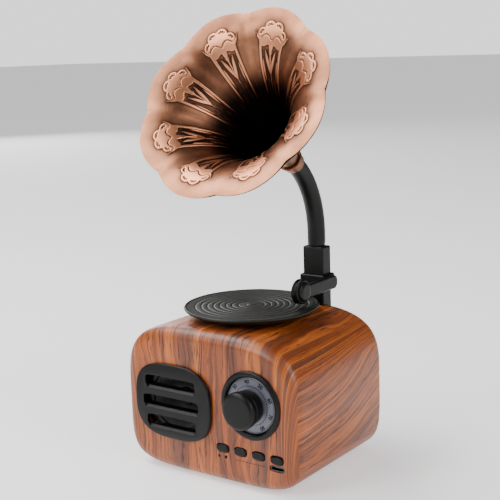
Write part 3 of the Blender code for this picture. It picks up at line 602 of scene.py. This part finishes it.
def make_grille():
    """The grille's face, with a slanted lower edge in each slot, and the plug behind it in the wall."""
    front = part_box("grille_frame")[0].y
    centre, half = middle("grille_frame"), half_size("grille_frame")
    back = FRONT - GAP * 0.3
    sunk = 0.0004
    outline = even_squircle(half.x, half.z, GRILLE_POWER, 160)
    face = new_piece("grille_face", outline_mesh("grille_face", outline, back - front + sunk),
                     "black_plastic", "cabinet", "grille_frame",
                     location=(centre.x, (back + front - sunk) / 2, centre.z), rotation=FACING_FRONT, sharp=30)
    rounding(face, 0.00072, 4)
    apply_modifiers(face)
    tools = []
    slant = 0.0013
    for tool, half_width in grille_slots("slot", 0.012, 64):
        x, _, z = tool[1]
        wedge = outline_mesh("wedge", [(-slant, 0), (0, -slant), (slant, 0), (0, slant)],
                             2 * half_width - 0.0016)
        tools += [tool, (wedge, (x, front - 0.0005, z - SLOT_HALF_HEIGHT + 0.0001), (0, pi / 2, 0))]
    carve(face, *tools)
    rounding(face, 0.00018, 2, 40)
    face.data.shade_smooth()
    face.data.set_sharp_from_angle(angle=radians(30))
    outline = even_squircle(*GRILLE_PLUG_HALF, GRILLE_POWER, 64)
    plug = new_piece("grille_plug", outline_mesh("grille_plug", outline, 0.0030), "black_plastic", "cabinet",
                     location=(centre.x, back + 0.0016, centre.z), rotation=FACING_FRONT)
    carve(plug, *[tool for tool, _ in grille_slots("slot", 0.012, 48)])


def make_dial():
    spot = Vector((middle("dial_bezel").x, FRONT, middle("dial_bezel").z))
    radius = half_size("dial_bezel").x
    bezel = [(0.0121, 0.0006), (0.0125, 0.0013), (0.0132, 0.0014), (0.0140, 0.0012), (radius, 0.0006),
             (radius, GAP / 3), (0.0127, GAP / 3), (0.0127, -0.0030), (0.0108, -0.0030), (0.0108, -0.0008),
             (0.0121, -0.0008)]
    new_piece("dial_ring", turned_mesh("dial_ring", rounded_profile(bezel, 0.0004, 3, True), 128, True),
              "black_plastic", "cabinet", "dial_bezel", location=spot, rotation=FACING_FRONT, sharp=50)
    face = [(0.0039, SCALE_FACE), (0.0115, SCALE_FACE), (0.0118, 0.0001), (0.0118, -0.0005),
            (0.0039, -0.0005)]
    new_piece("dial_face", turned_mesh("dial_face", face, 128, True), "scale", "cabinet", "dial_scale",
              location=spot, rotation=FACING_FRONT)
    make_dial_marks(spot)
    knob_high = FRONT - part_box("volume_knob")[0].y
    knob_radius = half_size("volume_knob").x
    profile = [(0, knob_high), (knob_radius - 0.0012, knob_high), (knob_radius, knob_high - 0.0012),
               (knob_radius, knob_high - 0.0034), (0.0073, knob_high - 0.0037), (0.0073, knob_high - 0.0042),
               (0.0075, knob_high - 0.0046), (0.0070, 0.0012), (0.0062, 0.0012), (0.0062, knob_high - 0.0060),
               (0.0028, knob_high - 0.0060), (0.0028, knob_high - 0.0016), (0, knob_high - 0.0016)]
    new_piece("knob_cap", turned_mesh("knob_cap", rounded_profile(profile, 0.0010, 5), 96), "black_plastic",
              "knob", "volume_knob", location=spot, rotation=FACING_FRONT, sharp=60)


def make_dial_marks(spot):
    """Generic numbers, tick marks and two thin rings on the dial's face; the inner ring is a painted shadow of the
    knob.
    """
    first, step, numbers, ticks_between = radians(216), radians(-39), 8, 5
    line_width, raised, number_radius = 0.00016, 0.00003, 0.0101
    tick_inner, tick_outer, long_tick_outer = 0.0081, 0.0087, 0.0089
    shape = bmesh.new()
    for index in range((numbers - 1) * ticks_between + 1):
        angle = first + step * index / ticks_between
        outer = tick_outer if index % ticks_between else long_tick_outer
        made = bmesh.ops.create_cube(shape, size=1.0)["verts"]
        bmesh.ops.scale(shape, vec=(outer - tick_inner, line_width, 2 * raised), verts=made)
        bmesh.ops.translate(shape, vec=((tick_inner + outer) / 2, 0, SCALE_FACE + raised), verts=made)
        bmesh.ops.rotate(shape, matrix=Matrix.Rotation(angle, 3, 'Z'), verts=made)
    mesh = bpy.data.meshes.new("dial_ticks")
    shape.to_mesh(mesh)
    shape.free()
    new_piece("dial_ticks", mesh, "black_plastic", "cabinet", location=spot, rotation=FACING_FRONT)
    # The outer ring is print; the inner ring, round the knob, is a painted shadow of the knob.
    for name, radius in (("dial_line_outer", 0.01125), ("dial_knob_shadow_ring", tick_inner)):
        top, bottom = SCALE_FACE + 0.00005, SCALE_FACE - 0.0001
        ring = [(radius, top), (radius + line_width, top), (radius + line_width, bottom), (radius, bottom)]
        new_piece(name, turned_mesh(name, ring, 128, True), "black_plastic", "cabinet", location=spot,
                  rotation=FACING_FRONT)
    for index in range(numbers):
        angle = first + step * index
        text = bpy.data.curves.new(f"number_{index + 1}", 'FONT')
        text.body = str(10 * (index + 1))
        text.size = 0.0023
        text.extrude = raised
        text.offset = 0.00006
        text.align_x = 'CENTER'
        text.align_y = 'CENTER'
        text.resolution_u = 3
        drawn = bpy.data.objects.new("drawn", text)
        bpy.context.scene.collection.objects.link(drawn)
        bpy.context.view_layer.update()
        mesh = bpy.data.meshes.new_from_object(drawn.evaluated_get(bpy.context.evaluated_depsgraph_get()))
        bpy.data.objects.remove(drawn, do_unlink=True)
        centre = (number_radius * cos(angle), number_radius * sin(angle), SCALE_FACE + raised)
        mesh.transform(Matrix.Translation(centre) @ Matrix.Rotation(angle - pi / 2, 4, 'Z'))
        new_piece(f"dial_number_{index + 1}", mesh, "black_plastic", "cabinet", location=spot,
                  rotation=FACING_FRONT)


def make_buttons():
    for number in range(1, 5):
        low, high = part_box(f"button_{number}")
        centre = middle(f"button_{number}")
        cap = new_piece(f"button_cap_{number}",
                        outline_mesh("cap", even_squircle(0.0030, 0.0017, 2.8, 48), high.y - low.y - 0.0004),
                        "black_plastic", f"key_{number}", f"button_{number}",
                        location=(centre.x, (low.y + high.y - 0.0004) / 2, centre.z), rotation=FACING_FRONT)
        rounding(cap, 0.0007, 4)


# ---------------------------------------------------------------- platter, post and tonearm

def make_platter():
    """The disc: a raised ring round the spindle, eight shallow grooves, a proud rim, a tapering underside."""
    centre, radius = middle("platter"), half_size("platter").x
    low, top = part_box("platter")[0].z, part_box("platter")[1].z
    face = top - 0.0003
    spindle_hole = 0.0023
    first_groove, groove_pitch, groove_half, groove_depth = 0.0058, 0.0027, 0.00050, 0.00013
    profile = [(0, face + 0.0002), (0.0016, face + 0.0002), (0.0020, face)]
    for index in range(8):
        at = first_groove + index * groove_pitch
        profile += [(at - groove_half, face), (at - groove_half / 2, face - groove_depth),
                    (at + groove_half / 2, face - groove_depth), (at + groove_half, face)]
    profile += [(radius - 0.0014, face), (radius - 0.0008, top), (radius - 0.0002, top - 0.0001),
                (radius, top - 0.0005), (radius - 0.0003, top - 0.0012), (0.0262, low + 0.0002),
                (0.0255, low), (spindle_hole, low), (spindle_hole, top - 0.0008), (0, top - 0.0008)]
    new_piece("record_disc", turned_mesh("record_disc", rounded_profile(profile, 0.0003, 2), 160),
              "platter_black", "turntable", "platter", location=(centre.x, centre.y, 0), sharp=60)


def make_post():
    """The post, shaped to the roof below it, and the collar that holds the tonearm."""
    post_low, post_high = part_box("post")
    block = block_mesh("post_column", (post_low.x, post_low.y, post_low.z - 0.002), post_high)
    post = new_piece("post_column", block, "black_plastic", "cabinet", "post")
    rounding(post, EDGE_ROUNDING, 4)
    apply_modifiers(post)
    clearance = cabinet_mesh("clearance", -GAP / 3, 200)
    helper = bpy.data.objects.new("clearance", clearance)
    bpy.context.scene.collection.objects.link(helper)
    helper.location = (0, 0, CABINET_SHOULDER)
    helper.rotation_euler = FACING_FRONT
    rounding(helper, CABINET_FILLET + GAP / 3, 8)
    apply_modifiers(helper)
    shaped = helper.data
    bpy.data.objects.remove(helper, do_unlink=True)
    carve(post, (shaped, (0, 0, CABINET_SHOULDER), FACING_FRONT))
    low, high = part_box("arm_collar")
    collar = new_piece("collar_block", block_mesh("collar_block", low, high), "black_plastic", "cabinet",
                       "arm_collar")
    rounding(collar, EDGE_ROUNDING, 4)
    apply_modifiers(collar)
    inner = block_mesh("inner", (post_low.x - GAP / 2, post_low.y - GAP / 2, low.z - 0.001),
                       (post_high.x + GAP / 2, post_high.y + GAP / 2, high.z + 0.001))
    carve(collar, (inner, (0, 0, 0), (0, 0, 0)))


def make_tonearm():
    """The bar with its rounded rear end, the soundbox drum and the drum's domed face."""
    low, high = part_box("tonearm")
    drum_centre = middle("soundbox")
    drum_radius = half_size("soundbox").z
    half = (high.z - low.z) / 2
    end_round = half * 0.75
    outline = [(-drum_centre.y, -half), (-drum_centre.y, half)]
    for step in range(13):
        angle = pi / 2 - step * pi / 12
        outline.append((-(high.y - end_round + end_round * cos(angle)), half * sin(angle)))
    bar = new_piece("arm_bar", outline_mesh("arm_bar", outline, high.x - low.x), "black_plastic", "arm",
                    "tonearm", location=((low.x + high.x) / 2, 0, (low.z + high.z) / 2),
                    rotation=(pi / 2, 0, -pi / 2))
    rounding(bar, EDGE_ROUNDING, 4)
    apply_modifiers(bar)
    reach, clear_radius = 0.006, drum_radius + GAP / 3
    clearance = [(0, reach), (clear_radius, reach), (clear_radius, -reach), (0, -reach)]
    carve(bar, (turned_mesh("drum_clearance", clearance, 64), drum_centre, FACING_RIGHT))
    spot = Vector((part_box("soundbox")[0].x, drum_centre.y, drum_centre.z))
    drum = [(0, 0.0035), (drum_radius - 0.0004, 0.0035), (drum_radius, 0.0031), (drum_radius, 0.0025),
            (drum_radius - 0.0006, 0.0022), (drum_radius - 0.0006, 0.0013), (drum_radius, 0.0010),
            (drum_radius, 0.0004), (drum_radius - 0.0004, 0), (0, 0)]
    new_piece("soundbox_drum", turned_mesh("soundbox_drum", rounded_profile(drum, 0.0004, 3), 96),
              "black_plastic", "arm", "soundbox", location=spot, rotation=FACING_RIGHT, sharp=60)
    cap = [(0, 0.0047), (0.0027, 0.0048), (0.0036, 0.0046), (0.0043, 0.0041), (0.0043, 0.00355),
           (0, 0.00355)]
    new_piece("soundbox_face", turned_mesh("soundbox_face", rounded_profile(cap, 0.0005, 3), 96),
              "black_plastic", "arm", "soundbox_cap", location=spot, rotation=FACING_RIGHT, sharp=60)


# ---------------------------------------------------------------- horn

def neck_bend(angle):
    """A point on the middle of the neck's bend, before the horn is turned."""
    forward, rise = NECK_BEND_RADIUS * (1 - cos(angle)), NECK_BEND_RADIUS * sin(angle)
    return Vector((0, -forward, NECK_STRAIGHT_TOP + rise))


def horn_places():
    """The frames of the turned neck and of the bell; the bell's origin is at the ferrule, its Z its axis."""
    neck = Matrix.Translation((HORN_PIVOT.x, HORN_PIVOT.y, 0)) @ Matrix.Rotation(HORN_TURN, 4, 'Z')
    mouth = neck_bend(NECK_BEND) + NECK_STRAIGHT_END * HORN_AXIS
    return neck, neck @ Matrix.Translation(mouth) @ Matrix.Rotation(NECK_BEND, 4, 'X')


def make_neck():
    """The bent tube, slightly drawn in at its foot, and the ferrule that joins it to the bell."""
    neck_place, bell_place = horn_places()
    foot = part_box("post")[1].z + GAP / 3
    rings, around = 40, 48
    foot_part, end_part = 0.12, 0.08            # of the tube's rings, before and after the bend
    drawn_in, drawn_part = 0.0003, 0.03
    verts, faces = [], []
    for ring in range(rings + 1):
        t = ring / rings
        angle = NECK_BEND * min(max((t - foot_part) / (1 - foot_part - end_part), 0.0), 1.0)
        centre = neck_bend(angle)
        centre.z -= (NECK_STRAIGHT_TOP - foot) * (1 - min(t / foot_part, 1.0))
        centre += NECK_STRAIGHT_END * max(0.0, (t - 1 + end_part) / end_part) * HORN_AXIS
        tilt = Matrix.Rotation(angle, 3, 'X')
        radius = NECK_RADIUS - drawn_in * max(0.0, 1 - t / drawn_part)
        for index in range(around):
            direction = 2 * pi * index / around
            verts.append(centre + tilt @ Vector((radius * cos(direction), radius * sin(direction), 0)))
    for ring in range(rings):
        for index in range(around):
            after = (index + 1) % around
            faces.append((ring * around + index, ring * around + after, (ring + 1) * around + after,
                          (ring + 1) * around + index))
    faces.append(tuple(reversed(range(around))))
    faces.append(tuple(range(rings * around, (rings + 1) * around)))
    mesh = bpy.data.meshes.new("neck_tube")
    mesh.from_pydata([tuple(vert) for vert in verts], [], faces)
    mesh.transform(neck_place)
    new_piece("neck_tube", mesh, "black_plastic", "horn", "horn_neck", sharp=60)
    ferrule = [(0.0041, 0.0004), (0.0050, 0.0005), (0.0055, 0.0001), (0.0054, -0.0006), (0.0049, -0.0012),
               (0.0047, -0.0042), (0.0041, -0.0044)]
    mesh = turned_mesh("ferrule_ring", rounded_profile(ferrule, 0.0004, 3, True), 96, True)
    mesh.transform(bell_place)
    new_piece("ferrule_ring", mesh, "copper", "horn", "horn_ferrule", sharp=60)
    mark_copper(mesh, 0.0, 0.0, 0.25)


def mark_copper(mesh, relief, outline, dark, polar=None):
    """Stores what the copper material reads: its tone, and the polar place that the brushing follows."""
    count = len(mesh.vertices)
    tone = np.zeros((count, 3), np.float32)
    tone[:, 0], tone[:, 1], tone[:, 2] = dark, relief, outline
    if polar is None:
        polar = np.zeros((count, 3), np.float32)
        mesh.vertices.foreach_get("co", polar.ravel())
    for name, values in (("tone", tone), ("polar", polar)):
        attribute = mesh.attributes.new(name, 'FLOAT_VECTOR', 'POINT')
        attribute.data.foreach_set("vector", values.astype(np.float32).ravel())


def disc(x, y, at, radius):
    return np.hypot(x - at[0], y - at[1]) - radius


def stroke(x, y, start, end, radius_start, radius_end, belly=0.0):
    """Signed distance to a tapered stroke, which may swell in its middle."""
    dx, dy = end[0] - start[0], end[1] - start[1]
    t = np.clip(((x - start[0]) * dx + (y - start[1]) * dy) / (dx * dx + dy * dy), 0, 1)
    radius = radius_start + (radius_end - radius_start) * t + belly * np.sin(pi * t)
    return np.hypot(x - start[0] - dx * t, y - start[1] - dy * t) - radius


def flower(x, y):
    """A plain floral ornament, in millimetres: x across the lobe, y inward from the rim.

    Returns the signed distances to what is raised and to what is cut into it, both negative inside.
    """
    x_abs = np.abs(x)
    petals = [((1.75, 8.3), 2.35), ((4.6, 10.7), 2.15)]
    raised = disc(x, y, (0, 11.2), 3.2)
    for at, radius in petals:
        raised = np.minimum(raised, disc(x_abs, y, at, radius))
    raised = np.minimum(raised, disc(x_abs, y, (2.4, 12.4), 3.0))
    raised = np.minimum(raised, disc(x_abs, y, (4.0, 13.8), 2.3))
    raised = np.minimum(raised, stroke(x, y, (0, 13.5), (0, 19.0), 1.7, 0.35))
    raised = np.minimum(raised, stroke(x_abs, y, (0.1, 19.0), (1.25, 17.4), 0.38, 0.08))
    raised = np.minimum(raised, stroke(x_abs, y, (5.2, 14.2), (6.9, 11.9), 0.65, 0.3))
    raised = np.minimum(raised, stroke(x_abs, y, (6.9, 11.9), (7.6, 9.4), 0.3, 0.06))
    raised = np.minimum(raised, stroke(x_abs, y, (5.6, 14.6), (6.2, 40.0), 0.62, 0.45, 0.18))
    raised = np.minimum(raised, stroke(x_abs, y, (2.9, 17.4), (0.25, 27.2), 0.18, 0.22, 0.62))
    raised = np.minimum(raised, stroke(x, y, (0, 19.0), (0, 42.0), 0.36, 0.22))
    raised = np.minimum(raised, stroke(x_abs, y, (4.55, 20.5), (4.2, 31.0), 0.1, 0.1, 0.42))
    raised = np.minimum(raised, stroke(x_abs, y, (2.2, 29.5), (3.2, 44.0), 0.1, 0.25, 0.15))
    wave = np.abs(y - (13.3 - 1.9 * np.abs(np.sin(pi * x / 5.4)) - 0.02 * x * x)) - 0.2
    cut = np.where(x_abs < 5.2, wave, 9.0)
    for at, radius in petals:
        for fan in (-0.9, -0.3, 0.3, 0.9):
            lean = fan + (0.25 if at[0] < 3 else 0.75)
            spot = (at[0] + 0.30 * radius * sin(lean), at[1] - 0.30 * radius * cos(lean))
            tip = (at[0] + 0.56 * radius * sin(lean), at[1] - 0.56 * radius * cos(lean))
            cut = np.minimum(cut, stroke(x_abs, y, spot, tip, 0.13, 0.2))
    return raised, cut


def smooth_step(value, low, high):
    t = np.clip((value - low) / (high - low), 0, 1)
    return t * t * (3 - 2 * t)


def horn_surface(out, angle):
    """The bell's middle surface, as in the CAD, for out from 0 at the throat to 1 at the rim."""
    lobe = np.abs(np.sin(HORN_LOBES / 2 * (angle - HORN_NOTCH_TURN))) * out ** 4
    radius = HORN_THROAT + (HORN_NOTCH - HORN_THROAT) * out + HORN_LOBE * lobe
    height = GAP + (HORN_LENGTH - GAP) * (1 - (1 - out) ** HORN_FLARE) + HORN_LOBE_LEAN * lobe
    return np.stack([radius * np.cos(angle), radius * np.sin(angle), height], -1)


def unit(vectors):
    return vectors / np.linalg.norm(vectors, axis=-1, keepdims=True)


def bell_tone(x, y, from_middle, raised, cut, lift):
    """How dark, how bright and how outlined the copper is over the embossed inside: painted shade, wear with a
    painted highlight near the rim, and a painted shadow round the relief with dark engraved lines.
    """
    # Painted shadow round the foot of the raised relief: a tight halo for the outline, a wider one for the painted
    # shade.
    halo = np.exp(-np.clip(raised, 0, 9) ** 2 / 0.30) * (1 - lift)
    soft_halo = np.exp(-np.clip(raised, 0, 9) ** 2 / 3.2) * (1 - lift)
    # Painted shade in the hollow between the stems.
    between_stems = smooth_step(6.6 - np.abs(x), 0, 0.8) * smooth_step(y, 15.5, 18.0)
    # Painted shade in the middles of the lobes, where the copper reflects darker.
    lobe_middles = smooth_step(y, 9, 22) * (1 - smooth_step(np.abs(from_middle), 0.3, 0.39))
    # Painted shade deepening to black in the throat, joined by the painted shade of the lobes' middles, between
    # the stems and round the relief.
    dark = smooth_step(y, 19, 35)
    for painted_shade in (0.45 * lobe_middles, 0.82 * between_stems, 0.40 * soft_halo):
        dark = np.maximum(dark, painted_shade)
    dark *= 1 - 0.80 * lift * (1 - smooth_step(y, 27, 40))
    # Wear lightens the raised relief; a painted highlight lightens a band just inside the rim.
    wear_and_highlight = np.maximum(lift, 0.15 * (1 - smooth_step(y, 1.0, 9.0)))
    engraved = smooth_step(-cut, -0.1, 0.1) * (raised < 0.1)
    return dark, wear_and_highlight, np.clip(halo * 0.85 + engraved * 0.9, 0, 1)


def make_bell():
    """One closed shell: the embossed inside, a rolled rim and the plain outside."""
    around = HORN_LOBES * 96
    inside_rows = 190
    outside_rows, rim_rows = 40, 9
    bead, rim_turn = 0.00075, 1.35 * pi
    relief, fold_height, fold_half_angle = 0.00032, 0.00045, 0.09
    angles = HORN_NOTCH_TURN + 2 * pi * np.arange(around) / around
    out = np.concatenate([np.linspace(0, 0.3, inside_rows // 6, endpoint=False),
                          np.linspace(0.3, 1, inside_rows - inside_rows // 6)])
    grid_out, grid_angle = np.meshgrid(out, angles, indexing="ij")
    surface = horn_surface(grid_out, grid_angle)
    small = 1e-4
    along = horn_surface(grid_out + small, grid_angle) - horn_surface(grid_out - small, grid_angle)
    turning = horn_surface(grid_out, grid_angle + small) - horn_surface(grid_out, grid_angle - small)
    normal = unit(np.cross(along, turning))
    normal *= np.sign(normal[..., 2:3] + 1e-9)

    # The ornament's own coordinates: x across a lobe and y inward from the rim, in millimetres.
    steps = np.linalg.norm(np.diff(surface[:, around // 16], axis=0), axis=-1)
    travelled = np.concatenate([[0], np.cumsum(steps)])
    inward = (travelled[-1] - travelled) * 1000
    lobe_angle = 2 * pi / HORN_LOBES
    from_middle = (grid_angle - HORN_NOTCH_TURN) % lobe_angle - lobe_angle / 2
    x, y = from_middle * 30, np.broadcast_to(inward[:, None], grid_angle.shape)
    raised, cut = flower(x, y)
    lift = smooth_step(-raised, -0.12, 0.16) * (1 - 0.85 * smooth_step(-cut, -0.08, 0.12))
    lift = lift * smooth_step(y, 46, 36)
    from_notch = np.abs(from_middle) - lobe_angle / 2
    fold = fold_height * np.exp(-(from_notch / fold_half_angle) ** 2) * smooth_step(grid_out, 0.45, 0.9)

    rows = [surface + normal * (HORN_WALL / 2 + lift * relief + fold)[..., None]]
    edge, edge_normal = surface[-1], normal[-1]
    outward = unit(np.cross(turning[-1], edge_normal))
    outward *= np.sign((outward * edge * (1, 1, 0)).sum(-1, keepdims=True))
    hub = edge - edge_normal * (bead - HORN_WALL / 2)
    for turn in np.linspace(0, rim_turn, rim_rows + 1)[1:]:
        rows.append((hub + edge_normal * bead * cos(turn) + outward * bead * sin(turn))[None])
    back = np.linspace(inside_rows - 4, 0, outside_rows).round().astype(int)
    rows.append(surface[back] - normal[back] * HORN_WALL / 2)
    points = np.concatenate(rows)
    total = len(points)
    index = np.arange(total * around).reshape(total, around)
    after = np.roll(index, -1, axis=1)
    below, below_after = np.roll(index, -1, axis=0), np.roll(after, -1, axis=0)
    mesh = bpy.data.meshes.new("flower_bell")
    faces = np.stack([index, after, below_after, below], -1).reshape(-1, 4)
    mesh.from_pydata(points.reshape(-1, 3), [], faces)

    dark, wear_and_highlight, outline = (np.zeros((total, around)) for _ in range(3))
    inside = slice(0, inside_rows)
    dark[inside], wear_and_highlight[inside], outline[inside] = bell_tone(x, y, from_middle, raised, cut, lift)
    dark[inside_rows + rim_rows:] = 0.35 * np.linspace(0.2, 1, outside_rows)[:, None]
    # Painted highlight on the rolled rim, in the same channel as the wear on the relief.
    wear_and_highlight[inside_rows:inside_rows + rim_rows] = 0.75
    polar = np.zeros((total, around, 3))
    polar[..., 0] = np.minimum(angles, 2 * pi + HORN_NOTCH_TURN - angles)[None]
    polar[..., 1] = np.concatenate([inward / 1000, np.zeros(rim_rows), inward[back] / 1000])[:, None]
    mark_copper(mesh, wear_and_highlight.ravel(), outline.ravel(), dark.ravel(), polar.reshape(-1, 3))
    shape = bmesh.new()
    shape.from_mesh(mesh)
    bmesh.ops.recalc_face_normals(shape, faces=shape.faces)
    shape.to_mesh(mesh)
    shape.free()
    mesh.transform(horn_places()[1])
    new_piece("flower_bell", mesh, "copper", "horn", "horn_bell", sharp=70)


# ---------------------------------------------------------------- everything together

def dress_frame():
    """Gives every CAD node that stays in view the material of its slot, and the charging socket a steel darkened
    with painted shade.
    """
    for entry in frame["record"]["subparts"]:
        node = frame["nodes"][entry["node"]]
        for index in range(len(node.data.materials)):
            node.data.materials[index] = MATERIALS[entry["material_slot"]]
    # Painted shade: the charging socket's steel is darkened for the dark opening it sits in.
    shaded_socket_steel = speckled("shaded_socket_steel", (0.10, 0.10, 0.10), (0.06, 0.06, 0.06), 0.35, 1.0)
    frame["nodes"]["charging_socket"].data.materials[0] = shaded_socket_steel


make_camera()
make_studio()
MATERIALS = make_materials()
dress_frame()
make_cabinet()
make_grille()
make_dial()
make_buttons()
make_platter()
make_post()
make_tonearm()
make_neck()
make_bell()
